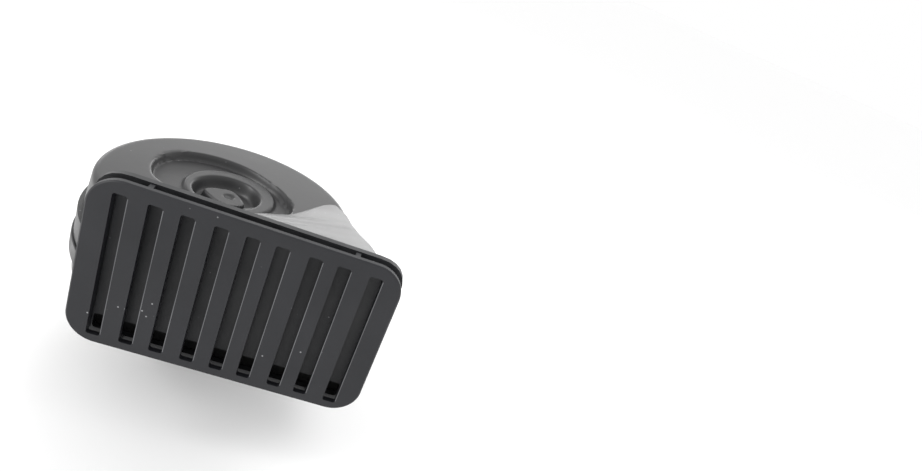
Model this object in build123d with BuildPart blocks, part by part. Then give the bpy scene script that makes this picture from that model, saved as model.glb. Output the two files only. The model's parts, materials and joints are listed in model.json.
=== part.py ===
from build123d import *
import os
from math import cos, sin, radians

os.makedirs("parts", exist_ok=True)

# Electric snail horn with a slatted rectangular mouth. Millimetres.
# +Z runs up the horn axis to the snail face, the mouth faces -Y, +X is to the right seen from the
# mouth. Heights below count from the dome face that the bracket is clamped to; finish() lifts every
# piece so that the origin of the part lies on the horn axis at the outer face of the nut.

# ---- rim of the clamped stack, which the trumpet, the pan and the mouth are set from ---------
stack_r = 48.4
curve_gap = 0.3                        # between curved faces that do not fit each other
crimp_wall = 0.6
crimp_out_r = stack_r + curve_gap + crimp_wall

# ---- mouth -----------------------------------------------------------------------------------
mouth_w, mouth_h = 98.0, 60.0
mouth_x, mouth_z = 20.0, 52.0          # centre of the mouth
mouth_corner_r = 10.0
front_plate_t = 2.0
front_gap = 3.2                        # open gap between the front plate and the rear flange
rear_flange_t = 2.2
slot_w = 4.4
slot_right_edges = [-37.4, -27.1, -17.5, -7.4, 2.3, 11.6, 22.1, 31.3, 41.8]
slot_top, slot_bottom = 25.6, -26.8    # from the mouth centre
slat_depth = 3.8
post_w = 1.6
post_positions = [-32.6, 31.8]         # along the mouth, from its centre

flange_back_y = -(crimp_out_r + curve_gap)
flange_front_y = flange_back_y - rear_flange_t
plate_back_y = flange_front_y - front_gap
mouth_face_y = plate_back_y - front_plate_t    # front face of the slatted plate

# ---- trumpet ---------------------------------------------------------------------------------
snail_cx, snail_cy = 2.0, 2.0          # the snail outline is set off from the horn axis
snail_r = stack_r - 1.2
base_r = stack_r + 0.2
face_z = 60.0                          # flat outer rim of the snail face
split_z = 46.0                         # joint between trumpet cover and trumpet base
wall = 2.0
floor_top_z, floor_bottom_z = 38.8, 36.8
hood_left, hood_right = -27.0, 60.5
hood_top_z, hood_floor_z = 80.4, 37.4
throat_r = 6.5

# ---- clamped stack ---------------------------------------------------------------------------
pan_flange_z, pan_t = 31.0, 1.0
gasket_w = 5.4
gasket_in_r = stack_r - gasket_w
gasket_t = 1.0
diaphragm_t = 0.4
top_gasket_t = 0.8
foot_t = 1.4
crimp_t = 0.8
neck_r = stack_r - 2.2                 # the crimp's lip folds over the foot outside it

gasket_z = pan_flange_z + pan_t
diaphragm_z = gasket_z + gasket_t
top_gasket_z = diaphragm_z + diaphragm_t
foot_z = top_gasket_z + top_gasket_t
foot_top_z = foot_z + foot_t

# ---- housing pan -----------------------------------------------------------------------------
dome_r = 21.0
floor_z = 18.0
pan_wall_r = stack_r - 1.0

# ---- magnet and armature ---------------------------------------------------------------------
core_r, core_top_z = 8.5, 20.5
magnet_gap = 1.0
armature_r = 8.0
shank_r = 2.5
bobbin_r, bobbin_tube_r, bobbin_top_z = 19.0, 10.1, 20.0
bobbin_flange_t = 1.2

# ---- stud and nut ----------------------------------------------------------------------------
stud_r = 4.0
fit = 0.03                             # radial, threads and press seats
bracket_gap = 2.2                      # room for the vehicle's 2 mm bracket under the washer
washer_r, washer_t = 12.0, 2.0
spring_washer_r, spring_washer_t = 7.2, 1.8
nut_af, nut_h = 13.0, 6.5
washer_z = -bracket_gap - washer_t
spring_washer_z = washer_z - spring_washer_t
nut_z = spring_washer_z - nut_h
stud_free = 3.0                        # free end of the stud past the nut
stud_end_z = nut_z - stud_free

# ---- connector -------------------------------------------------------------------------------
con_y = -10.0
con_x0, con_x1, con_end = 25.0, 44.0, 57.5
con_w = 20.0
seal_t = 1.0
con_top = floor_z - seal_t
con_bottom = 8.5
shroud_z0, shroud_z1 = 7.4, 17.6
socket_w, socket_h = 16.0, 7.0
blade_w, blade_t, blade_off = 2.8, 0.8, 3.6
blade_z = 12.5
spigot_x0, spigot_x1, spigot_w = 30.5, 37.0, 12.0
con_rivet_r, con_rivet_x = 1.5, 27.6
con_rivet_off = con_w / 2 - 2.0         # keeps the rivets inside the seal's edge

# ---- breaker ---------------------------------------------------------------------------------
brk_x0, brk_x1, brk_w = -40.0, -30.0, 12.0
brk_floor = floor_z + pan_t
block_t, arm_t, spacer_t, spring_t, clamp_t = 4.0, 0.8, 2.2, 0.5, 1.0
contact_x, contact_r = -21.5, 2.0
brk_rivet_r, brk_rivet_off = 1.2, 3.6
screw_r, screw_x = 2.0, -26.0


def finish(piece, name):
    piece.part.position += (0, 0, -nut_z)
    piece.part.label = name
    export_step(piece.part, "parts/" + name + ".step")


def mouth_plane(y):
    # sketch plane seen from the front: x right, y up, centred on the mouth
    return Plane(origin=(mouth_x, y, mouth_z), x_dir=(1, 0, 0), z_dir=(0, -1, 0))


def polar(r, deg):
    return (r * cos(radians(deg)), r * sin(radians(deg)))


# =============================== mouth grille ==================================================
with BuildPart() as mouth_grille:
    with BuildSketch(mouth_plane(plate_back_y)):
        RectangleRounded(mouth_w, mouth_h, mouth_corner_r)
    extrude(amount=front_plate_t)
    chamfer(mouth_grille.faces().sort_by(Axis.Y)[0].outer_wire().edges(), 0.5)
    # slats carried back behind the plate as stiffening ribs
    rib_h = slot_top - slot_bottom
    with BuildSketch(mouth_plane(plate_back_y)):
        for edge in slot_right_edges:
            with Locations((edge + 0.6, (slot_top + slot_bottom) / 2)):
                Rectangle(1.2, rib_h)
        with Locations((slot_right_edges[0] - slot_w - 0.6, (slot_top + slot_bottom) / 2)):
            Rectangle(1.2, rib_h)
    extrude(amount=-(slat_depth - front_plate_t))
    # short posts that hold the plate off the rear flange
    with BuildSketch(mouth_plane(plate_back_y)):
        for px in post_positions:
            for pz in (mouth_h / 2 - 1.6, -mouth_h / 2 + 1.6):
                with Locations((px, pz)):
                    Rectangle(post_w, 2.4)
        for px in (-mouth_w / 2 + 1.6, mouth_w / 2 - 1.6):
            with Locations((px, -6.0)):
                Rectangle(2.4, post_w)
    extrude(amount=-front_gap)
    with BuildSketch(mouth_plane(mouth_face_y)):
        for edge in slot_right_edges:
            with Locations((edge - slot_w / 2, (slot_top + slot_bottom) / 2)):
                RectangleRounded(slot_w, slot_top - slot_bottom, 0.8)
    extrude(amount=-front_plate_t, mode=Mode.SUBTRACT)
finish(mouth_grille, "mouth_grille")

# =============================== trumpet ======================================================
# hood sections: at the rear flange, half way and where the hood dies into the snail disc
hood_ys = [flange_back_y, -36.0, -12.0]
hood_tops = [hood_top_z, 68.6, 59.2]
hood_lefts = [hood_left, -25.0, -20.0]
hood_rights = [hood_right, 57.8, 48.0]
hood_floors = [hood_floor_z, hood_floor_z + 0.2, hood_floor_z + 0.4]


def hood_section(i, inset, corner, front_y=None):
    y = hood_ys[i] if front_y is None else front_y
    left, right = hood_lefts[i] + inset, hood_rights[i] - inset
    bottom, top = hood_floors[i] + inset, hood_tops[i] - inset
    with BuildSketch(Plane(origin=((left + right) / 2, y, (bottom + top) / 2),
                           x_dir=(1, 0, 0), z_dir=(0, -1, 0))) as section:
        RectangleRounded(right - left, top - bottom, corner)
    return section.sketch


# wall that folds the air path: from the front rim in to the throat, then out round the back
fold_wall_pts = [polar(snail_r - 1.7, 236), polar(34.0, 246), polar(21.0, 268), polar(15.5, 300), polar(17.5, 335),
                 polar(21.0, 15), polar(25.0, 60), polar(29.0, 105), polar(33.0, 150), polar(34.5, 185),
                 polar(33.5, 208)]

with BuildPart() as trumpet_cover:
    with BuildSketch(Plane.XY.offset(split_z)):
        with Locations((snail_cx, snail_cy)):
            Circle(snail_r + 1.2)
    extrude(amount=face_z - split_z, taper=5)
    fillet(trumpet_cover.faces().sort_by(Axis.Z)[-1].edges(), 2.2)
    loft([hood_section(i, 0.0, 7.0) for i in range(3)])
    with BuildSketch(mouth_plane(flange_back_y)):
        RectangleRounded(mouth_w, mouth_h, mouth_corner_r)
    extrude(amount=rear_flange_t)
    # air space of the hood
    loft([hood_section(0, wall, 5.0, flange_front_y - 0.01), hood_section(1, wall, 5.0),
          hood_section(2, wall, 5.0)], mode=Mode.SUBTRACT)
    # outer turn of the air path, high under the rim
    with BuildSketch(Plane.XY.offset(split_z)):
        with Locations((snail_cx, snail_cy)):
            Circle(snail_r - 1.6)
            Circle(34.0, mode=Mode.SUBTRACT)
    extrude(amount=face_z - wall - split_z - 0.6, mode=Mode.SUBTRACT)
    # inner turn, lower under the sunk face
    with BuildSketch(Plane.XY.offset(split_z)):
        with Locations((snail_cx, snail_cy)):
            Circle(35.0)
    extrude(amount=4.0, mode=Mode.SUBTRACT)
    # fold wall, down from both roofs
    with BuildSketch(Plane.XY.offset(split_z)):
        with BuildLine():
            Spline(*fold_wall_pts)
        trace(line_width=2.0)
    extrude(amount=8.0)
    # everything under the joint belongs to the base, except the rear flange
    with BuildSketch(Plane.XY.offset(split_z)):
        with Locations((20.0, flange_back_y + 60.0)):
            Rectangle(160, 120)
    extrude(amount=-12.0, mode=Mode.SUBTRACT)

    # relief on the snail face: sunk area inside the outer turn
    with BuildSketch(Plane.XY.offset(face_z)) as sunk:
        with BuildLine():
            Spline((22.6, -4.0), (24.6, 8.0), (18.5, 17.4), (12.0, 22.8), (4.8, 27.2), (-2.7, 29.6),
                   (-12.0, 29.6), (-21.0, 26.4), (-28.0, 19.4), (-30.4, 8.0), (-26.0, -3.6),
                   (-16.0, -9.0), (-4.0, -10.6), (12.0, -9.8), periodic=True)
        make_face()
    extrude(amount=-3.4, mode=Mode.SUBTRACT)
    # groove round the middle boss
    with BuildSketch(Plane.XY.offset(face_z - 3.4)):
        with Locations((-1.5, 6.0)):
            Circle(15.6)
    extrude(amount=-3.4, taper=30, mode=Mode.SUBTRACT)
    with BuildSketch(Plane.XY.offset(face_z - 6.8)):
        with BuildLine():
            Spline((7.6, 3.0), (5.6, 8.0), (0.4, 11.4), (-4.6, 10.8), (-9.4, 7.6), (-10.6, 3.4), (-6.0, 0.4),
                   (-1.0, -2.2), (4.4, -1.6), periodic=True)
        make_face()
    extrude(amount=3.6)
    with BuildSketch(Plane.XY.offset(face_z - 3.2)):
        with Locations((0.2, 5.2)):
            Circle(2.2)
    extrude(amount=-0.8, taper=35, mode=Mode.SUBTRACT)
finish(trumpet_cover, "trumpet_cover")

with BuildPart() as trumpet_base:
    with BuildSketch(Plane.XY.offset(floor_bottom_z)):
        Circle(base_r)
    extrude(amount=split_z - floor_bottom_z)
    loft([hood_section(0, 0.0, 7.0), hood_section(1, 0.0, 7.0), hood_section(2, 0.0, 7.0)])
    loft([hood_section(0, wall, 5.0, flange_back_y - 0.01), hood_section(1, wall, 5.0),
          hood_section(2, wall, 5.0)], mode=Mode.SUBTRACT)
    with BuildSketch(Plane.XY.offset(floor_top_z)):
        with Locations((snail_cx, snail_cy)):
            Circle(snail_r - 1.6)
    extrude(amount=20, mode=Mode.SUBTRACT)
    with BuildSketch(Plane.XY.offset(floor_top_z)):
        with BuildLine():
            Spline(*fold_wall_pts)
        trace(line_width=2.0)
    extrude(amount=split_z - floor_top_z)
    with BuildSketch(Plane.XY.offset(split_z)):
        Rectangle(260, 260)
    extrude(amount=60, mode=Mode.SUBTRACT)
    # neck and clamped foot
    with BuildSketch(Plane.XY.offset(foot_top_z)):
        Circle(neck_r)
    extrude(amount=floor_bottom_z - foot_top_z)
    with BuildSketch(Plane.XY.offset(foot_z)):
        Circle(stack_r)
    extrude(amount=foot_t)
    # hollow over the diaphragm, and the throat
    with BuildSketch(Plane.XY.offset(foot_z)):
        Circle(gasket_in_r)
    extrude(amount=floor_bottom_z - foot_z - 0.2, mode=Mode.SUBTRACT)
    with BuildSketch(Plane.XY.offset(foot_z)):
        Circle(throat_r)
    extrude(amount=8, mode=Mode.SUBTRACT)
finish(trumpet_base, "trumpet_base")


def ring(r_out, r_in, z0, height):
    with BuildPart() as ring_part:
        with BuildSketch(Plane.XY.offset(z0)):
            Circle(r_out)
            Circle(r_in, mode=Mode.SUBTRACT)
        extrude(amount=height)
    return ring_part


# =============================== clamped stack ================================================
upper_gasket = ring(stack_r, gasket_in_r, top_gasket_z, top_gasket_t)
finish(upper_gasket, "upper_gasket")
lower_gasket = ring(stack_r, gasket_in_r, gasket_z, gasket_t)
finish(lower_gasket, "lower_gasket")
diaphragm = ring(stack_r, shank_r + curve_gap, diaphragm_z, diaphragm_t)
finish(diaphragm, "diaphragm")

with BuildPart() as crimp_ring:
    crimp_in = stack_r + curve_gap
    with BuildSketch(Plane.XZ):
        with BuildLine():
            Polyline((crimp_in, pan_flange_z), (pan_wall_r + curve_gap, pan_flange_z),
                     (pan_wall_r + curve_gap, pan_flange_z - crimp_t), (crimp_out_r, pan_flange_z - crimp_t),
                     (crimp_out_r, foot_top_z + crimp_t), (neck_r + curve_gap, foot_top_z + crimp_t),
                     (neck_r + curve_gap, foot_top_z), (crimp_in, foot_top_z), close=True)
        make_face()
    revolve(axis=Axis.Z)
    fillet(crimp_ring.edges().filter_by(GeomType.CIRCLE).group_by(SortBy.RADIUS)[-1], 0.4)
finish(crimp_ring, "crimp_ring")

# =============================== housing pan ==================================================
def stepped_pot(dome, nose_r, z0, z1, wide, corner_r, top):
    # a round pot with a smaller dome under it, both with a drawn radius at the foot
    with BuildPart() as pot:
        with BuildSketch(Plane.XY.offset(z1)):
            Circle(wide)
        extrude(amount=top - z1)
        fillet(pot.faces().sort_by(Axis.Z)[0].edges(), corner_r)
        with BuildSketch(Plane.XY.offset(z0)) as nose:
            Circle(dome)
        extrude(amount=z1 + 2.0 - z0)
        fillet(pot.faces().sort_by(Axis.Z)[0].edges(), nose_r)
    return pot


pan_room = stepped_pot(dome_r - pan_t, 3.0, pan_t, floor_z + pan_t, pan_wall_r - pan_t, 3.4, pan_flange_z + 4)
with BuildPart() as housing_pan:
    add(stepped_pot(dome_r, 4.0, 0.0, floor_z, pan_wall_r, 4.4, pan_flange_z + pan_t).part)
    with BuildSketch(Plane.XY.offset(pan_flange_z)):
        Circle(stack_r)
    extrude(amount=pan_t)
    add(pan_room.part, mode=Mode.SUBTRACT)
    with BuildSketch(Plane.XY.offset(-1)):
        Circle(stud_r + curve_gap)
    extrude(amount=4, mode=Mode.SUBTRACT)
    with BuildSketch(Plane.XY.offset(floor_z - 1)):
        with Locations(((spigot_x0 + spigot_x1) / 2, con_y)):
            Rectangle(spigot_x1 - spigot_x0 + 0.6, spigot_w + 0.6)
        with Locations((con_rivet_x, con_y - con_rivet_off), (con_rivet_x, con_y + con_rivet_off)):
            Circle(con_rivet_r + 0.05)
        with Locations((screw_x, 0)):
            Circle(screw_r + fit)
        with Locations((brk_x0 + 5, -brk_rivet_off), (brk_x0 + 5, brk_rivet_off)):
            Circle(brk_rivet_r + 0.05)
    extrude(amount=4, mode=Mode.SUBTRACT)
finish(housing_pan, "housing_pan")

# =============================== magnet and armature ==========================================
with BuildPart() as pole_core:
    with BuildSketch(Plane.XY.offset(pan_t)):
        Circle(core_r)
        Circle(stud_r + fit, mode=Mode.SUBTRACT)
    extrude(amount=11.0)
    with BuildSketch(Plane.XY.offset(pan_t + 11.0)):
        Circle(core_r)
    extrude(amount=core_top_z - pan_t - 11.0)
    chamfer(pole_core.faces().sort_by(Axis.Z)[-1].edges(), 0.6)
finish(pole_core, "pole_core")

with BuildPart() as coil_bobbin:
    with BuildSketch(Plane.XY.offset(pan_t)):
        Circle(bobbin_tube_r)
    extrude(amount=bobbin_top_z - pan_t)
    # the lower flange stays inside the drawn radius of the dome nose
    with BuildSketch(Plane.XY.offset(pan_t)):
        Circle(bobbin_r - 2.6)
    extrude(amount=bobbin_flange_t)
    with BuildSketch(Plane.XY.offset(bobbin_top_z - bobbin_flange_t)):
        Circle(bobbin_r)
    extrude(amount=bobbin_flange_t)
    with BuildSketch(Plane.XY.offset(pan_t)):
        Circle(core_r + curve_gap)
    extrude(amount=bobbin_top_z, mode=Mode.SUBTRACT)
finish(coil_bobbin, "coil_bobbin")

with BuildPart() as coil_winding:
    wind_z0, wind_z1 = pan_t + bobbin_flange_t, bobbin_top_z - bobbin_flange_t
    with BuildSketch(Plane.XZ):
        turns = 7
        pitch = (wind_z1 - wind_z0) / turns
        with BuildLine():
            # the outer layer of wire shows as a row of rounded turns
            for k in range(turns):
                low = wind_z0 + k * pitch
                ThreePointArc((15.6, low), (16.3, low + pitch / 2), (15.6, low + pitch))
            Polyline((15.6, wind_z1), (bobbin_tube_r + curve_gap, wind_z1),
                     (bobbin_tube_r + curve_gap, wind_z0), (15.6, wind_z0))
        make_face()
    revolve(axis=Axis.Z)
finish(coil_winding, "coil_winding")

arm_z = core_top_z + magnet_gap
rivet_top_z = diaphragm_z + diaphragm_t + 2.0
with BuildPart() as armature:
    with BuildSketch(Plane.XY.offset(arm_z)):
        Circle(armature_r)
    extrude(amount=diaphragm_z - arm_z)
    chamfer(armature.edges().filter_by(GeomType.CIRCLE), 0.6)
    with BuildSketch(Plane.XY.offset(diaphragm_z)):
        Circle(shank_r)
    extrude(amount=rivet_top_z - diaphragm_z)
finish(armature, "armature")

with BuildPart() as armature_nut:
    with BuildSketch(Plane.XY.offset(diaphragm_z + diaphragm_t)):
        RegularPolygon(radius=4.0, side_count=6, major_radius=False)
        Circle(shank_r + fit, mode=Mode.SUBTRACT)
    extrude(amount=1.6)
finish(armature_nut, "armature_nut")

# =============================== breaker ======================================================
block_z = brk_floor
arm_low = block_z + block_t
spacer_z = arm_low + arm_t
spring_z = spacer_z + spacer_t
clamp_z = spring_z + spring_t
brk_mid = brk_x0 + 5
brk_len = brk_x1 - brk_x0


def plate(x0, x1, width, z0, height, holes=True):
    with BuildPart() as flat:
        with BuildSketch(Plane.XY.offset(z0)):
            with Locations(((x0 + x1) / 2, 0)):
                Rectangle(x1 - x0, width)
            if holes:
                with Locations((brk_mid, -brk_rivet_off), (brk_mid, brk_rivet_off)):
                    Circle(brk_rivet_r + 0.05, mode=Mode.SUBTRACT)
        extrude(amount=height)
    return flat


breaker_block = plate(brk_x0, brk_x1, brk_w, block_z, block_t)
finish(breaker_block, "breaker_block")
fixed_contact_arm = plate(brk_x0 + 0.6, contact_x + 2.6, 8.0 + 2.0, arm_low, arm_t)
finish(fixed_contact_arm, "fixed_contact_arm")
breaker_spacer = plate(brk_x0, brk_x1, brk_w, spacer_z, spacer_t)
finish(breaker_spacer, "breaker_spacer")
contact_spring = plate(brk_x0 + 0.6, -armature_r - 1.2, 8.0 + 2.0, spring_z, spring_t)
finish(contact_spring, "contact_spring")
clamp_plate = plate(brk_x0 + 0.3, brk_x1 - 0.3, brk_w - 0.6, clamp_z, clamp_t)
finish(clamp_plate, "clamp_plate")

with BuildPart() as contact_points:
    half = spacer_t / 2
    for z in (spacer_z, spacer_z + half):
        with BuildSketch(Plane.XY.offset(z)):
            with Locations((contact_x, 0)):
                Circle(contact_r if z == spacer_z else contact_r - 0.4)
        extrude(amount=half - 0.05 if z == spacer_z else half)
finish(contact_points, "contact_points")

with BuildPart() as breaker_rivets:
    for z0, height, r in ((floor_z - 0.8, 0.8, brk_rivet_r + 0.8),
                          (floor_z, clamp_z + clamp_t - floor_z, brk_rivet_r),
                          (clamp_z + clamp_t, 0.8, brk_rivet_r + 0.8)):
        with BuildSketch(Plane.XY.offset(z0)):
            with Locations((brk_mid, -brk_rivet_off), (brk_mid, brk_rivet_off)):
                Circle(r)
        extrude(amount=height)
finish(breaker_rivets, "breaker_rivets")

with BuildPart() as adjusting_screw:
    with BuildSketch(Plane.XY.offset(floor_z - 2.6)):
        Circle(screw_r + 1.0)
    extrude(amount=2.6)
    chamfer(adjusting_screw.faces().sort_by(Axis.Z)[0].edges(), 0.4)
    with BuildSketch(Plane.XY.offset(floor_z - 2.6)):
        Rectangle(0.9, 8)
    extrude(amount=1.0, mode=Mode.SUBTRACT)
    with BuildSketch(Plane.XY.offset(floor_z)):
        Circle(screw_r)
    extrude(amount=arm_low - floor_z)
adjusting_screw.part.position = (screw_x, 0, 0)
finish(adjusting_screw, "adjusting_screw")

with BuildPart() as suppressor_resistor:
    body_r, body_len = 2.6, 13.0
    with BuildSketch(Plane.YZ.offset(-body_len / 2)):
        with Locations((33.0, brk_floor + body_r)):
            Circle(body_r)
    extrude(amount=body_len)
    fillet(suppressor_resistor.edges().filter_by(GeomType.CIRCLE), 0.7)
    for side in (-1, 1):
        with BuildSketch(Plane.XY.offset(brk_floor)):
            with Locations((side * (body_len / 2 + 1.2), 33.0)):
                Rectangle(0.8, 1.6)
        extrude(amount=body_r + 0.8)
        with BuildSketch(Plane.XY.offset(brk_floor + body_r - 0.4)):
            with Locations((side * (body_len / 2 + 0.4), 33.0)):
                Rectangle(2.4, 1.6)
        extrude(amount=0.8)
finish(suppressor_resistor, "suppressor_resistor")

# =============================== connector ====================================================
with BuildPart() as connector_housing:
    with BuildSketch(Plane.XY.offset(con_bottom)):
        with Locations(((con_x0 + con_x1) / 2, con_y)):
            Rectangle(con_x1 - con_x0, con_w)
    extrude(amount=con_top - con_bottom)
    fillet(connector_housing.edges().filter_by(Axis.Z), 1.5)
    with BuildSketch(Plane.YZ.offset(con_x1 - 1.0)):
        with Locations((con_y, (shroud_z0 + shroud_z1) / 2)):
            RectangleRounded(con_w, shroud_z1 - shroud_z0, 2.0)
    extrude(amount=con_end - con_x1 + 1.0)
    with BuildSketch(Plane.YZ.offset(con_x1)):
        with Locations((con_y, (shroud_z0 + shroud_z1) / 2)):
            RectangleRounded(socket_w, socket_h, 1.2)
    extrude(amount=30, mode=Mode.SUBTRACT)
    # keying rib on the shroud, and stiffening ribs down both sides of the body
    with BuildSketch(Plane.XY.offset(shroud_z0 - 1.4)):
        with Locations(((con_x1 + con_end) / 2 + 1, con_y)):
            Rectangle(con_end - con_x1 - 5, 6)
    extrude(amount=1.5)
    for side in (-1, 1):
        with BuildSketch(Plane.XY.offset(con_bottom)):
            with Locations(*[(x, con_y + side * (con_w / 2 + 0.4)) for x in (28.0, 33.0, 38.0, 43.0)]):
                Rectangle(1.6, 1.2)
        extrude(amount=con_top - con_bottom)
    # spigot through the pan floor
    with BuildSketch(Plane.XY.offset(con_top)):
        with Locations(((spigot_x0 + spigot_x1) / 2, con_y)):
            Rectangle(spigot_x1 - spigot_x0, spigot_w)
    extrude(amount=seal_t + pan_t + 1.6)
    with BuildSketch(Plane.XY.offset(con_bottom)):
        with Locations((con_rivet_x, con_y - con_rivet_off), (con_rivet_x, con_y + con_rivet_off)):
            Circle(con_rivet_r + 0.05)
    extrude(amount=20, mode=Mode.SUBTRACT)
    # seats for the two blades
    for side in (-1, 1):
        with BuildSketch(Plane.XY.offset(blade_z - 0.02)):
            with Locations(((spigot_x0 + 3 + con_end) / 2, con_y + side * blade_off)):
                Rectangle(con_end - spigot_x0 - 3, blade_w + 0.04)
        extrude(amount=blade_t + 0.04, mode=Mode.SUBTRACT)
        with BuildSketch(Plane.XY.offset(blade_z - 0.02)):
            with Locations((spigot_x0 + 3 + blade_t / 2, con_y + side * blade_off)):
                Rectangle(blade_t + 0.04, blade_w + 0.04)
        extrude(amount=30, mode=Mode.SUBTRACT)
finish(connector_housing, "connector_housing")

with BuildPart() as connector_seal:
    with BuildSketch(Plane.XY.offset(con_top)):
        with Locations((con_x0 + 8.5, con_y)):
            RectangleRounded(17.0, con_w, 1.5)
        with Locations(((spigot_x0 + spigot_x1) / 2, con_y)):
            Rectangle(spigot_x1 - spigot_x0 + 0.6, spigot_w + 0.6, mode=Mode.SUBTRACT)
        with Locations((con_rivet_x, con_y - con_rivet_off), (con_rivet_x, con_y + con_rivet_off)):
            Circle(con_rivet_r + 0.05, mode=Mode.SUBTRACT)
    extrude(amount=seal_t)
finish(connector_seal, "connector_seal")

with BuildPart() as terminal_blades:
    for side in (-1, 1):
        with BuildSketch(Plane.XZ.offset(-(con_y + side * blade_off - blade_w / 2))):
            with BuildLine():
                x0 = spigot_x0 + 3
                Polyline((x0, blade_z), (con_end - 4.0, blade_z), (con_end - 4.0, blade_z + blade_t),
                         (x0 + blade_t, blade_z + blade_t), (x0 + blade_t, brk_floor + 4.5),
                         (x0, brk_floor + 4.5), close=True)
            make_face()
        extrude(amount=-blade_w)
finish(terminal_blades, "terminal_blades")

with BuildPart() as connector_rivets:
    for z0, height, r in ((con_bottom - 1.2, 1.2, con_rivet_r + 1.3),
                          (con_bottom, brk_floor - con_bottom, con_rivet_r),
                          (brk_floor, 0.9, con_rivet_r + 0.9)):
        with BuildSketch(Plane.XY.offset(z0)):
            with Locations((con_rivet_x, con_y - con_rivet_off), (con_rivet_x, con_y + con_rivet_off)):
                Circle(r)
        extrude(amount=height)
finish(connector_rivets, "connector_rivets")

# =============================== stud, washers and nut ========================================
with BuildPart() as mounting_stud:
    with BuildSketch(Plane.XY.offset(stud_end_z)):
        Circle(stud_r)
    extrude(amount=pan_t + 11.0 - stud_end_z)
    chamfer(mounting_stud.edges().filter_by(GeomType.CIRCLE), 0.7)
finish(mounting_stud, "mounting_stud")

with BuildPart() as large_washer:
    with BuildSketch(Plane.XY.offset(washer_z)):
        Circle(washer_r)
        Circle(stud_r + curve_gap, mode=Mode.SUBTRACT)
    extrude(amount=washer_t)
    fillet(large_washer.edges().filter_by(GeomType.CIRCLE).group_by(SortBy.RADIUS)[-1], 0.4)
finish(large_washer, "large_washer")

with BuildPart() as spring_washer:
    with BuildSketch(Plane.XY.offset(spring_washer_z)):
        Circle(spring_washer_r)
        Circle(stud_r + curve_gap, mode=Mode.SUBTRACT)
        with Locations((spring_washer_r - 1.5, 0)):
            Rectangle(8, 0.8, mode=Mode.SUBTRACT)
    extrude(amount=spring_washer_t)
finish(spring_washer, "spring_washer")

with BuildPart() as hex_nut:
    with BuildSketch(Plane.XY.offset(nut_z)):
        RegularPolygon(radius=nut_af / 2, side_count=6, major_radius=False, rotation=10)
    extrude(amount=nut_h)
    # the usual chamfer cone on the outer end
    with BuildSketch(Plane.XZ):
        with BuildLine():
            corner = nut_af / 2 / cos(radians(30))
            Polyline((nut_af / 2 - 0.2, nut_z), (corner + 1.0, nut_z), (corner + 1.0, nut_z + 0.9),
                     close=True)
        make_face()
    revolve(axis=Axis.Z, mode=Mode.SUBTRACT)
    with BuildSketch(Plane.XY.offset(nut_z)):
        Circle(stud_r + fit)
    extrude(amount=nut_h, mode=Mode.SUBTRACT)
finish(hex_nut, "hex_nut")
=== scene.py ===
import bpy, bmesh, json
import numpy as np
from math import radians, cos, sin, pi, tan
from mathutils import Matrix, Quaternion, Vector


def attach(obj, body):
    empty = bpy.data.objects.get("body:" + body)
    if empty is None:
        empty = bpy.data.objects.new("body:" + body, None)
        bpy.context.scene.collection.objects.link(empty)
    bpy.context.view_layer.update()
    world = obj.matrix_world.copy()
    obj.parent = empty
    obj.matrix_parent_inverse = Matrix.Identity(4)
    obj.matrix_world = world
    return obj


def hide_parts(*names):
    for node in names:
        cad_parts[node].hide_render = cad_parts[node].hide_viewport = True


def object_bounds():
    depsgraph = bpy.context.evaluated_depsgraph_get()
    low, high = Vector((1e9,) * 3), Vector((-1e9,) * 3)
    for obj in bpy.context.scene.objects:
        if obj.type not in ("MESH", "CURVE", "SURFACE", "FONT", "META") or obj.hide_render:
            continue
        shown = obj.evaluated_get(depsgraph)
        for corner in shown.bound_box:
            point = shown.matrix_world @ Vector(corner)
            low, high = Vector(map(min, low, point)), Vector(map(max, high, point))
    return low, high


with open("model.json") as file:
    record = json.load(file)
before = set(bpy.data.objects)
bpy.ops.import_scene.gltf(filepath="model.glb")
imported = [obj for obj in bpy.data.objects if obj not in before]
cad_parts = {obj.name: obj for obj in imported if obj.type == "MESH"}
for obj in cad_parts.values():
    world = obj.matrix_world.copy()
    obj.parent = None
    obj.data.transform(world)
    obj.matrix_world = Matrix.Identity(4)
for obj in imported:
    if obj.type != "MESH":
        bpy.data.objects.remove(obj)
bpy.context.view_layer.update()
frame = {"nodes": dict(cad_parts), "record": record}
scene = bpy.context.scene
nodes = frame["nodes"]


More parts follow.
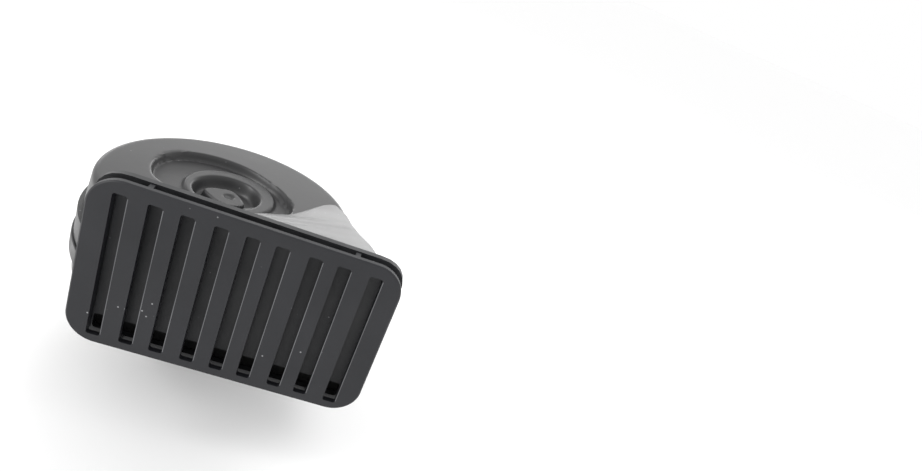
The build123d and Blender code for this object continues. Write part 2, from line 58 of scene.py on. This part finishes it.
# ---------------------------------------------------------------- materials
class Look:
    """A node material built step by step; every look is procedural and follows object coordinates."""

    def __init__(self, name):
        self.mat = bpy.data.materials.new(name)
        self.mat.use_nodes = True
        self.nt = self.mat.node_tree
        self.bsdf = self.nt.nodes["Principled BSDF"]
        self.coord = self.nt.nodes.new("ShaderNodeTexCoord")
        self.bump_from = None

    def link(self, a, b):
        self.nt.links.new(a, b)

    def noise(self, scale, detail=4.0, rough=0.55, stretch=None):
        n = self.nt.nodes.new("ShaderNodeTexNoise")
        n.inputs["Scale"].default_value = scale
        n.inputs["Detail"].default_value = detail
        n.inputs["Roughness"].default_value = rough
        if stretch:
            m = self.nt.nodes.new("ShaderNodeMapping")
            m.inputs["Scale"].default_value = stretch
            self.link(self.coord.outputs["Object"], m.inputs["Vector"])
            self.link(m.outputs["Vector"], n.inputs["Vector"])
        else:
            self.link(self.coord.outputs["Object"], n.inputs["Vector"])
        return n.outputs["Fac"]

    def specks(self, scale, size):
        """Small round spots: 1 inside a spot, 0 outside."""
        v = self.nt.nodes.new("ShaderNodeTexVoronoi")
        v.inputs["Scale"].default_value = scale
        self.link(self.coord.outputs["Object"], v.inputs["Vector"])
        return self.ramp(v.outputs["Distance"], [(0.0, 1.0), (size, 1.0), (size * 1.5, 0.0)])

    def ramp(self, value, stops):
        r = self.nt.nodes.new("ShaderNodeValToRGB")
        e = r.color_ramp.elements
        while len(e) < len(stops):
            e.new(0.5)
        for el, (pos, col) in zip(e, stops):
            el.position = pos
            el.color = (col, col, col, 1) if isinstance(col, (int, float)) else (*col, 1)
        self.link(value, r.inputs["Fac"])
        return r.outputs["Color"]

    def mix(self, fac, a, b):
        m = self.nt.nodes.new("ShaderNodeMix")
        m.data_type = "RGBA"
        for socket, value in ((m.inputs[0], fac), (m.inputs[6], a), (m.inputs[7], b)):
            if isinstance(value, bpy.types.NodeSocket):
                self.link(value, socket)
            else:
                socket.default_value = (*value, 1)
        return m.outputs[2]

    def math(self, op, a, b):
        m = self.nt.nodes.new("ShaderNodeMath")
        m.operation = op
        for socket, value in ((m.inputs[0], a), (m.inputs[1], b)):
            if isinstance(value, bpy.types.NodeSocket):
                self.link(value, socket)
            else:
                socket.default_value = value
        return m.outputs[0]

    def put(self, socket, value):
        s = self.bsdf.inputs[socket]
        if isinstance(value, bpy.types.NodeSocket):
            self.link(value, s)
        else:
            s.default_value = (*value, 1) if isinstance(value, tuple) else value

    def bump(self, height, strength, distance):
        b = self.nt.nodes.new("ShaderNodeBump")
        b.inputs["Strength"].default_value = strength
        b.inputs["Distance"].default_value = distance
        self.link(height, b.inputs["Height"])
        if self.bump_from is not None:
            self.link(self.bump_from, b.inputs["Normal"])
        self.bump_from = b.outputs["Normal"]
        self.link(self.bump_from, self.bsdf.inputs["Normal"])


def moulded(name, dark, light, rough=(0.42, 0.6), dust=0.0, grain=0.5):
    k = Look(name)
    cloud = k.noise(35.0, 5.0)
    base = k.ramp(cloud, [(0.3, dark), (0.7, light)])
    if dust:
        spots = k.specks(330.0, 0.075)
        spots = k.math("MULTIPLY", spots, k.ramp(k.noise(70.0, 2.0), [(0.56, 0.0), (0.62, 1.0)]))
        spots = k.math("MULTIPLY", spots, dust)
        base = k.mix(spots, base, (0.30, 0.30, 0.31))
        rub = k.ramp(k.noise(90.0, 6.0, 0.7, (1.0, 1.0, 0.12)), [(0.60, 0.0), (0.78, 1.0)])
        rub = k.math("MULTIPLY", rub, 0.10 * dust)
        base = k.mix(rub, base, (0.16, 0.16, 0.17))
    k.put("Base Color", base)
    k.put("Roughness", k.ramp(k.noise(50.0, 5.0), [(0.3, rough[0]), (0.7, rough[1])]))
    k.bump(k.noise(1500.0, 2.0), 0.05 * grain, 0.0004)
    k.bump(k.noise(120.0, 3.0), 0.05 * grain, 0.0006)
    return k.mat


def painted(name, dark, light, chips=0.35, rough=(0.28, 0.55)):
    k = Look(name)
    base = k.ramp(k.noise(40.0, 5.0), [(0.3, dark), (0.7, light)])
    wear = k.ramp(k.noise(240.0, 8.0, 0.72), [(0.60, 0.0), (0.67, 1.0)])
    wear = k.math("MULTIPLY", wear, k.ramp(k.noise(30.0, 3.0), [(0.45, 0.0), (0.62, chips)]))
    k.put("Base Color", k.mix(wear, base, (0.33, 0.32, 0.30)))
    k.put("Roughness", k.ramp(k.noise(80.0, 5.0), [(0.3, rough[0]), (0.7, rough[1])]))
    k.bump(k.noise(700.0, 4.0), 0.12, 0.0005)
    k.bump(wear, 0.25, 0.0002)
    return k.mat


def metal(name, dark, light, rough=(0.3, 0.5)):
    k = Look(name)
    k.put("Base Color", k.ramp(k.noise(90.0, 6.0), [(0.3, dark), (0.7, light)]))
    k.put("Metallic", 1.0)
    k.put("Roughness", k.ramp(k.noise(160.0, 6.0), [(0.3, rough[0]), (0.7, rough[1])]))
    k.bump(k.noise(900.0, 3.0), 0.08, 0.0004)
    return k.mat


looks = {
    "grille_plastic": moulded("grille_plastic",
                              (0.006, 0.0065, 0.009), (0.010, 0.0105, 0.014), (0.50, 0.60), 1.0),
    "trumpet_plastic": moulded("trumpet_plastic",
                               (0.022, 0.022, 0.023), (0.028, 0.028, 0.029), (0.35, 0.40), 0.4),
    # pale colour painted on the slot edges as a highlight, standing in for light caught by the edges
    "painted_edge_highlight": moulded("painted_edge_highlight", (0.075, 0.076, 0.082), (0.16, 0.162, 0.17), (0.35, 0.45)),
    # darker copy of the trumpet plastic: painted shade for the flange wall seen between the slats
    "flange_plastic_painted_shade": moulded("flange_plastic_painted_shade",
                              (0.010, 0.0105, 0.012), (0.015, 0.0155, 0.018), (0.48, 0.6), 0.6),
    "painted_steel": painted("painted_steel", (0.014, 0.014, 0.015), (0.024, 0.024, 0.025)),
    "fastener_black": painted("fastener_black", (0.035, 0.034, 0.033), (0.06, 0.058, 0.055), 0.5),
    "gasket_rubber": moulded("gasket_rubber", (0.006, 0.006, 0.006), (0.010, 0.010, 0.010), (0.8, 0.9)),
    "connector_plastic": moulded("connector_plastic",
                                 (0.025, 0.025, 0.026), (0.045, 0.045, 0.046), (0.4, 0.6)),
    "bobbin_plastic": moulded("bobbin_plastic", (0.42, 0.39, 0.31), (0.52, 0.49, 0.40), (0.5, 0.65)),
    "resistor_body": moulded("resistor_body", (0.40, 0.36, 0.28), (0.52, 0.47, 0.38), (0.6, 0.75)),
    "spring_steel": metal("spring_steel", (0.38, 0.38, 0.38), (0.52, 0.52, 0.52)),
    "magnet_iron": metal("magnet_iron", (0.28, 0.28, 0.28), (0.42, 0.42, 0.42)),
    "zinc_steel": metal("zinc_steel", (0.46, 0.46, 0.45), (0.62, 0.62, 0.61)),
    "copper_wire": metal("copper_wire", (0.45, 0.16, 0.06), (0.62, 0.26, 0.11), (0.22, 0.38)),
    "contact_metal": metal("contact_metal", (0.45, 0.45, 0.46), (0.6, 0.6, 0.62)),
    "brass_rivet": metal("brass_rivet", (0.50, 0.36, 0.15), (0.66, 0.50, 0.24)),
    "tinned_brass": metal("tinned_brass", (0.50, 0.47, 0.40), (0.66, 0.62, 0.54)),
}
for part in frame["record"]["subparts"]:
    if part["node"] in nodes:
        node = nodes[part["node"]]
        node.data.materials.clear()
        node.data.materials.append(looks[part["material_slot"]])


# ---------------------------------------------------------------- trumpet cover
# Lengths in millimetres, heights counted from the dome face as in the part's source.
LIFT = 12.5                            # dome face above the origin
SNAIL_X, SNAIL_Y, SNAIL_R = 1.2, 2.0, 47.7
FACE_Z, SPLIT_Z = 60.0, 46.0
RIM_R, DRAFT, RELIEF_R = 2.2, radians(5), 34.0
MOUTH_X, MOUTH_Z, MOUTH_W, MOUTH_H, MOUTH_R = 20.0, 52.0, 98.0, 60.0, 10.0
FACE_Y = -57.0                         # front face of the slatted plate
FLANGE_FRONT, FLANGE_BACK = -51.8, -49.6
SLOT_RIGHT = (-37.4, -27.1, -17.5, -7.4, 2.3, 11.6, 22.1, 31.3, 41.8)
SLOT_W = 4.4
# windows in the flange, placed from the mouth centre: narrow ones behind the slats, a low wide one
HIDDEN_W, HIDDEN_H, HIDDEN_Z, HIDDEN_R = 3.0, 34.0, 7.0, 0.8
LOW_W, LOW_H, LOW_Z, LOW_R = 84.0, 5.8, -25.2, 1.5
# blind pocket behind the low window: larger than it by this much, and how deep it goes; a dark sheet in
# the darkest rubber look as painted shade, standing in for the shade of a deep opening
POCKET_MORE_W, POCKET_MORE_H, POCKET_BACK = 2.0, 0.8, -48.3
# painted highlight strips along the slot edges, standing in for light caught by the edges; bottom and top
# from the mouth centre
HIGHLIGHT_W, HIGHLIGHT_PROUD, HIGHLIGHT_DEEP = 0.26, 0.03, 0.2
HIGHLIGHT_BOTTOM, HIGHLIGHT_TOP = -26.0, 24.9

# relief of the snail face: two free outlines, then round steps as (centre x, centre y, radius)
SUNK_OUTLINE = ((22.6, -4.0), (24.6, 8.0), (18.5, 17.4), (12.0, 22.8), (4.8, 27.2), (-2.7, 29.6),
                (-12.0, 29.6), (-21.0, 26.4), (-28.0, 19.4), (-30.4, 8.0), (-26.0, -3.6), (-16.0, -9.0),
                (-4.0, -10.6), (12.0, -9.8))
BOSS_OUTLINE = ((7.7, 2.0), (5.2, 7.0), (0.4, 11.0), (-4.2, 10.2), (-8.6, 7.6), (-10.0, 4.2), (-6.2, 0.4),
                (-1.0, -2.6), (4.6, -1.8))
RING, DISH, DIMPLE = (0.0, 7.0, 18.5), (-1.0, 5.5, 13.6), (0.2, 5.0, 2.6)
SUNK_DEEP, RING_HIGH, DISH_DEEP, BOSS_HIGH, DIMPLE_DEEP = 3.4, 1.6, 5.0, 3.6, 0.8


def metres(x, y, z):
    return (x / 1000.0, y / 1000.0, (z + LIFT) / 1000.0)


def closed_curve(points, steps=14):
    """Catmull-Rom curve through a closed ring of points."""
    p = np.array(points, float)
    t = np.linspace(0, 1, steps, endpoint=False)[:, None]
    out = []
    for i in range(len(p)):
        a, b, c, d = p[i - 1], p[i], p[(i + 1) % len(p)], p[(i + 2) % len(p)]
        out.append(0.5 * (2 * b + (c - a) * t + (2 * a - 5 * b + 4 * c - d) * t ** 2
                          + (3 * b - a - 3 * c + d) * t ** 3))
    return np.concatenate(out)


def inside_depth(xy, ring):
    """Distance to the ring, positive inside it."""
    a, b = ring, np.roll(ring, -1, axis=0)
    ab = b - a
    best = np.full(len(xy), 1e9)
    odd = np.zeros(len(xy), bool)
    for k in range(len(a)):
        w = xy - a[k]
        t = np.clip((w @ ab[k]) / max(ab[k] @ ab[k], 1e-9), 0, 1)
        best = np.minimum(best, np.hypot(*(w - t[:, None] * ab[k]).T))
        up = (a[k][1] > xy[:, 1]) != (b[k][1] > xy[:, 1])
        cross = a[k][0] + (xy[:, 1] - a[k][1]) * ab[k][0] / (ab[k][1] if abs(ab[k][1]) > 1e-9 else 1e-9)
        odd ^= up & (xy[:, 0] < cross)
    return np.where(odd, best, -best)


def step(v, width):
    """0 below zero, 1 above width, rounded at both ends."""
    t = np.clip(v / width, 0, 1)
    return t * t * (3 - 2 * t)


def snail_height(xy):
    """Height of the snail face at each point; the second value given to step is the slope's width."""
    def round_depth(cx, cy, r):
        return r - np.hypot(xy[:, 0] - cx, xy[:, 1] - cy)

    sunk_in = inside_depth(xy, closed_curve(SUNK_OUTLINE))
    boss_in = inside_depth(xy, closed_curve(BOSS_OUTLINE))
    z = np.full(len(xy), FACE_Z)
    z -= SUNK_DEEP * step(sunk_in + 0.6, 1.7)
    z += RING_HIGH * step(round_depth(*RING), 1.8)
    z -= DISH_DEEP * step(round_depth(*DISH), 2.8)
    z += BOSS_HIGH * step(boss_in + 0.3, 1.3)
    z -= DIMPLE_DEEP * step(round_depth(*DIMPLE), 1.4)
    return z


def add_rings(bm, rings, closed_start=False, closed_end=False):
    rows = [[bm.verts.new(metres(*p)) for p in ring] for ring in rings]
    n = len(rows[0])
    for low_row, high_row in zip(rows, rows[1:]):
        for i in range(n):
            bm.faces.new((low_row[i], low_row[(i + 1) % n], high_row[(i + 1) % n], high_row[i]))
    if closed_start:
        bm.faces.new(list(reversed(rows[0])))
    if closed_end:
        bm.faces.new(rows[-1])


def snail_body(bm, around=240):
    """Disc with fine rings over the relief, a rounded rim and a side with draft."""
    angles = [2 * pi * i / around for i in range(around)]
    radii = list(np.linspace(0.4, RELIEF_R, 74)) + list(np.linspace(RELIEF_R + 1.0, SNAIL_R - RIM_R, 12))
    rings = []
    for r in radii:
        xy = np.array([(SNAIL_X + r * cos(a), SNAIL_Y + r * sin(a)) for a in angles])
        rings.append([(x, y, z) for (x, y), z in zip(xy, snail_height(xy))])
    for k in range(1, 7):
        q = k / 6 * pi / 2
        r, z = SNAIL_R - RIM_R + RIM_R * sin(q), FACE_Z - RIM_R + RIM_R * cos(q)
        rings.append([(SNAIL_X + r * cos(a), SNAIL_Y + r * sin(a), z) for a in angles])
    foot = SNAIL_R + (FACE_Z - RIM_R - SPLIT_Z) * tan(DRAFT)
    rings.append([(SNAIL_X + foot * cos(a), SNAIL_Y + foot * sin(a), SPLIT_Z) for a in angles])
    add_rings(bm, rings, True, True)


def rounded(corners, per=7):
    """Polygon of (x, z, radius) corners with every corner rounded."""
    out = []
    n = len(corners)
    for i in range(n):
        p = Vector(corners[i][:2])
        u = (Vector(corners[i - 1][:2]) - p)
        v = (Vector(corners[(i + 1) % n][:2]) - p)
        half = u.angle(v) / 2
        reach = min(corners[i][2] / max(tan(half), 1e-3), 0.48 * u.length, 0.48 * v.length)
        a, b = p + u.normalized() * reach, p + v.normalized() * reach
        for k in range(per):
            t = k / (per - 1)
            out.append(a.lerp(p, t).lerp(p.lerp(b, t), t))
    return out


# hood sections: y, foot left, far left (x, z), top left (x, z), top right (x, z), foot right
HOOD = ((-49.6, -27.0, -26.0, 76.0, 10.0, 77.8, 60.7, 81.0, 60.5),
        (-40.0, -25.8, -24.5, 69.0, 10.0, 72.3, 59.2, 78.3, 59.0),
        (-30.0, -24.0, -20.0, 62.0, 10.0, 66.8, 57.4, 75.6, 56.6),
        (-22.0, -21.5, -6.0, 59.0, 9.6, 63.9, 55.4, 73.2, 53.2),
        (-14.0, -18.0, 5.5, 57.2, 9.4, 61.4, 53.4, 70.9, 49.6),
        (-2.0, 2.0, 22.0, 57.0, 24.4, 61.6, 50.4, 67.3, 48.2),
        (14.0, 18.0, 30.0, 57.0, 33.0, 60.6, 47.0, 62.7, 46.6),
        (25.0, 30.0, 35.0, 56.5, 37.5, 59.2, 41.0, 59.7, 41.0))


def flowing(y, ys, values):
    """Value at y on a smooth curve through the table, without overshoot between two rows."""
    i = min(max(int(np.searchsorted(ys, y)) - 1, 0), len(ys) - 2)
    rise = np.diff(values) / np.diff(ys)
    inner = [0.0 if a * b <= 0 else 2 * a * b / (a + b) for a, b in zip(rise, rise[1:])]
    slopes = [rise[0]] + inner + [rise[-1]]
    span = ys[i + 1] - ys[i]
    t = (y - ys[i]) / span
    return float((1 + 2 * t) * (1 - t) ** 2 * values[i] + t * (1 - t) ** 2 * span * slopes[i]
                 + t * t * (3 - 2 * t) * values[i + 1] + t * t * (t - 1) * span * slopes[i + 1])


def hood_ring(y):
    ys = [h[0] for h in HOOD]
    foot_l, far_x, far_z, left_x, left_z, right_x, right_z, foot_r = (
        flowing(y, ys, [h[k] for h in HOOD]) for k in range(1, 9))
    ring = rounded([(foot_l, SPLIT_Z, 0.2), (foot_l, min(far_z - 1.5, 56.0), 1.0), (far_x, far_z, 6.0),
                    (left_x, left_z, 6.0), (right_x, right_z, 4.0), (foot_r, SPLIT_Z, 0.2)])
    return [(p.x, y, p.y) for p in ring]


def plate_with_windows(name, y_front, thickness, outline, windows):
    """Flat plate across the mouth; outline and windows are rings of (x, z) from the mouth centre."""
    curve = bpy.data.curves.new(name, "CURVE")
    curve.dimensions = "2D"
    curve.fill_mode = "BOTH"
    curve.extrude = thickness / 2000.0
    for ring in [outline] + windows:
        sp = curve.splines.new("POLY")
        sp.points.add(len(ring) - 1)
        for point, (x, z) in zip(sp.points, ring):
            point.co = (x / 1000.0, z / 1000.0, 0.0, 1.0)
        sp.use_cyclic_u = True
    ob = bpy.data.objects.new(name, curve)
    scene.collection.objects.link(ob)
    bpy.context.view_layer.update()
    mesh = bpy.data.meshes.new_from_object(ob.evaluated_get(bpy.context.evaluated_depsgraph_get()))
    bpy.data.objects.remove(ob)
    for v in mesh.vertices:
        x, z, depth = v.co
        v.co = ((MOUTH_X / 1000.0) + x, (y_front + thickness / 2) / 1000.0 - depth,
                (MOUTH_Z + LIFT) / 1000.0 + z)
    return mesh


def box_ring(cx, cz, w, h, r):
    return [(p.x, p.y) for p in rounded([(cx - w / 2, cz - h / 2, r), (cx + w / 2, cz - h / 2, r),
                                         (cx + w / 2, cz + h / 2, r), (cx - w / 2, cz + h / 2, r)])]


def build_cover():
    bm = bmesh.new()
    snail_body(bm)
    add_rings(bm, [hood_ring(y) for y in np.linspace(HOOD[0][0], HOOD[-1][0], 60)], False, True)
    slat_centres = [(a + b - SLOT_W) / 2 for a, b in zip(SLOT_RIGHT, SLOT_RIGHT[1:])]
    windows = [box_ring(cx, HIDDEN_Z, HIDDEN_W, HIDDEN_H, HIDDEN_R) for cx in slat_centres]
    windows.append(box_ring(0.0, LOW_Z, LOW_W, LOW_H, LOW_R))
    flange = plate_with_windows("flange", FLANGE_FRONT, FLANGE_BACK - FLANGE_FRONT,
                                box_ring(0, 0, MOUTH_W, MOUTH_H, MOUTH_R), windows)
    before = len(bm.faces)
    bm.from_mesh(flange)
    bpy.data.meshes.remove(flange)
    pocket_ring = box_ring(0.0, LOW_Z, LOW_W + POCKET_MORE_W, LOW_H + POCKET_MORE_H, LOW_R)
    pocket = [[(MOUTH_X + x, y, MOUTH_Z + z) for x, z in pocket_ring] for y in (FLANGE_BACK, POCKET_BACK)]
    add_rings(bm, pocket, False, True)
    bm.faces.ensure_lookup_table()
    # flange faces take slot 1, the darker copy of the trumpet plastic that paints shade between the slats
    for face in bm.faces[before:]:
        face.material_index = 1
    # pocket walls and back take slot 2, the darkest rubber look, as painted shade inside the low window
    for face in bm.faces[-1 - len(pocket[0]):]:
        face.material_index = 2
    bmesh.ops.recalc_face_normals(bm, faces=bm.faces)
    mesh = bpy.data.meshes.new("trumpet_cover_skin")
    bm.to_mesh(mesh)
    bm.free()
    mesh.shade_smooth()
    ob = bpy.data.objects.new("trumpet_cover_skin", mesh)
    scene.collection.objects.link(ob)
    # slot 1 paints shade on the flange, slot 2 paints shade in the pocket behind the low window
    for look in ("trumpet_plastic", "flange_plastic_painted_shade", "gasket_rubber"):      # slots 0, 1 and 2
        ob.data.materials.append(looks[look])
    split = ob.modifiers.new("crisp", "EDGE_SPLIT")
    split.split_angle = radians(46)
    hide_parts("trumpet_cover")
    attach(ob, "root")


build_cover()


# ---------------------------------------------------------------- painted highlight lines on the slot edges
def add_box(bm, x0, x1, y0, y1, z0, z1):
    v = [bm.verts.new(metres(x, y, z)) for x in (x0, x1) for y in (y0, y1) for z in (z0, z1)]
    for face in ((0, 1, 3, 2), (4, 6, 7, 5), (0, 4, 5, 1), (2, 3, 7, 6), (0, 2, 6, 4), (1, 5, 7, 3)):
        bm.faces.new([v[i] for i in face])


def build_painted_edge_highlights():
    """Paler painted highlight line along the right edge of each slot, a hair proud of the face; it stands
    in for light caught by the edge.
    """
    bm = bmesh.new()
    for edge in SLOT_RIGHT:
        x = MOUTH_X + edge
        add_box(bm, x, x + HIGHLIGHT_W, FACE_Y - HIGHLIGHT_PROUD, FACE_Y + HIGHLIGHT_DEEP,
                MOUTH_Z + HIGHLIGHT_BOTTOM, MOUTH_Z + HIGHLIGHT_TOP)
    bmesh.ops.recalc_face_normals(bm, faces=bm.faces)
    mesh = bpy.data.meshes.new("painted_edge_highlights")
    bm.to_mesh(mesh)
    bm.free()
    ob = bpy.data.objects.new("painted_edge_highlights", mesh)
    scene.collection.objects.link(ob)
    ob.data.materials.append(looks["painted_edge_highlight"])
    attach(ob, "root")


build_painted_edge_highlights()


# ---------------------------------------------------------------- floor, light and camera
FLOOR_SIZE, FLOOR_GAP = 60.0, 0.0002
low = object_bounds()[0][2]
bpy.ops.mesh.primitive_plane_add(size=FLOOR_SIZE, location=(0.0, 0.0, low - FLOOR_GAP))
floor = bpy.context.object
floor.name = "studio_floor"
paper = bpy.data.materials.new("paper")
paper.use_nodes = True
paper_bsdf = paper.node_tree.nodes["Principled BSDF"]
paper_bsdf.inputs["Base Color"].default_value = (0.99, 0.99, 0.99, 1)
paper_bsdf.inputs["Roughness"].default_value = 0.9
floor.data.materials.append(paper)

world = bpy.data.worlds.new("studio")
scene.world = world
world.use_nodes = True
background = world.node_tree.nodes["Background"]
background.inputs["Color"].default_value = (1.0, 1.0, 1.0, 1)
background.inputs["Strength"].default_value = 1.0


def panel(name, at, aim, size, power):
    light = bpy.data.lights.new(name, "AREA")
    light.shape = "RECTANGLE"
    light.size, light.size_y = size
    light.energy = power
    ob = bpy.data.objects.new(name, light)
    scene.collection.objects.link(ob)
    ob.location = at
    ob.rotation_euler = (Vector(aim) - Vector(at)).to_track_quat("-Z", "Y").to_euler()
    return ob


panel("key_top", (0.10, 0.55, 0.85), (0.0, 0.0, 0.05), (0.7, 0.5), 2.2)
panel("edge_left", (-0.75, -0.25, 0.55), (0.02, -0.05, 0.05), (0.18, 0.5), 3.0)
low_back = panel("low_back", (0.10, 1.3, 0.22), (0.03, 0.0, 0.08), (2.2, 0.42), 8.6)
low_back.visible_camera = False

cam_data = bpy.data.cameras.new("camera")
cam = bpy.data.objects.new("camera", cam_data)
scene.collection.objects.link(cam)
scene.camera = cam
cam_data.sensor_fit = "HORIZONTAL"
cam_data.sensor_width = 36.0
cam_data.lens = 26.16
cam_data.clip_start = 0.01
cam.location = (0.03871, -0.24182, 0.19543)
cam.rotation_mode = "QUATERNION"
cam.rotation_quaternion = Quaternion((0.83124, 0.52185, -0.17100, 0.08643))
scene.view_settings.view_transform = "Standard"
